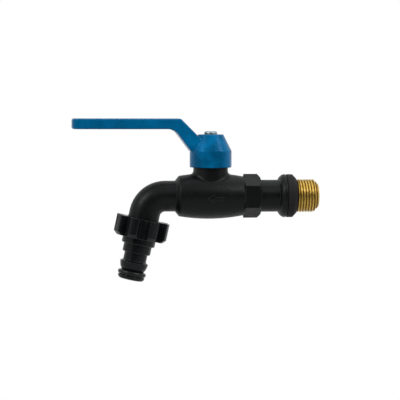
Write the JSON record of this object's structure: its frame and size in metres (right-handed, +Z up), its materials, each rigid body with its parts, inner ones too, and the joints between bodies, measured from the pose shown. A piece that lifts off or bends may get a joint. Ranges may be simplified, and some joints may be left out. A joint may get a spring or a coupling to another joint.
{
  "type": "outdoor tap",
  "caption": "Outdoor garden tap with a quarter-turn ball valve, a cranked lever, a brass male inlet thread and a lobed union nut that holds a quick-click hose nose",
  "frame": {"origin": "on the inlet axis, at the wall face of the sealing ring, where the inlet thread starts", "axes": "+X along the inlet thread into the wall, +Z up through the lever's stem, spout on the -X side"},
  "size_m": [0.1582, 0.0334, 0.1041],
  "materials": {
    "black_plastic": "satin",
    "blue_plastic": "satin",
    "brass": "machined",
    "chromed_ball": "polished",
    "rubber": "matt",
    "seat_plastic": "smooth",
    "zinc_steel": "zinc plated"
  },
  "bodies": {
    "tap_body": {"valve_body": "black_plastic", "inlet_connector": "black_plastic", "brass_thread_insert": "brass", "inlet_gasket": "rubber", "connector_o_ring": "rubber", "seat_ring_inlet": "seat_plastic", "seat_ring_outlet": "seat_plastic", "seat_backing_inlet": "rubber", "seat_backing_outlet": "rubber"},
    "lever": {"handle": "blue_plastic", "handle_screw": "zinc_steel", "screw_washer": "zinc_steel", "stem": "brass", "stem_washer": "seat_plastic", "stem_o_ring_lower": "rubber", "stem_o_ring_upper": "rubber", "ball": "chromed_ball"},
    "hose_nose": {"hose_nipple": "black_plastic", "nipple_o_ring": "rubber", "union_washer": "rubber"},
    "nut": {"union_nut": "black_plastic"}
  },
  "joints": [
    {"name": "lever_turn", "type": "hinge", "parent": "tap_body", "child": "lever", "pos_m": [-0.055, 0, 0], "axis": [0, 0, -1], "range_deg": [0, 90]},
    {"name": "nose_travel", "type": "slide", "parent": "tap_body", "child": "hose_nose", "axis": [-0.2079, 0, -0.9781], "range_m": [0, 0.00635]},
    {"name": "nut_turn", "type": "hinge", "parent": "hose_nose", "child": "nut", "pos_m": [-0.09929, 0, -0.02024], "axis": [-0.2079, 0, -0.9781], "range_deg": [0, 1260]}
  ],
  "couplings": [
    {"joint": "nut_turn", "follows": "nose_travel", "rad_per_m": 3463.7}
  ]
}
